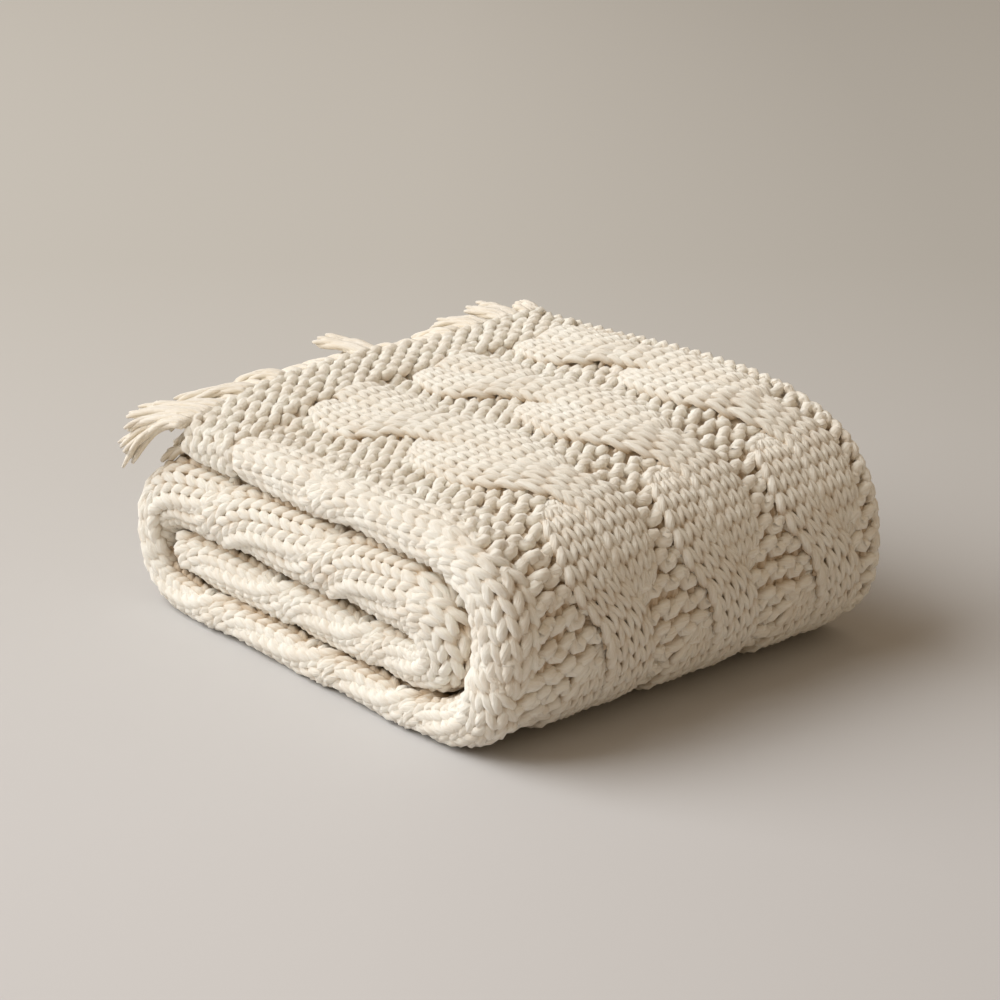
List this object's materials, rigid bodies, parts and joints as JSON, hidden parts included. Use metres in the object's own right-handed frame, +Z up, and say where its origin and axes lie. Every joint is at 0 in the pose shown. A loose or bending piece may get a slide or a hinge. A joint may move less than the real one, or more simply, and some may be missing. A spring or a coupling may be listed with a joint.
{
  "type": "chunky knit blanket",
  "caption": "Cream chunky cable-knit throw with a ribbed border and a fringe, folded in three lengthwise and rolled flat into a soft pack.",
  "frame": {"origin": "on the floor under the middle of the folded pack, fringe included", "axes": "+X along the layers towards the big outer fold, +Y from the near lengthwise fold to the far side, +Z up"},
  "size_m": [0.5022, 0.417, 0.2001],
  "materials": {
    "wool_knit": "matte, thick cream wool-blend yarn knitted in cables on plain knitting, slightly fuzzy",
    "wool_yarn": "matte, loose strands of the same cream yarn"
  },
  "bodies": {
    "root": {"blanket": "wool_knit", "fringe": "wool_yarn"}
  },
  "joints": []
}
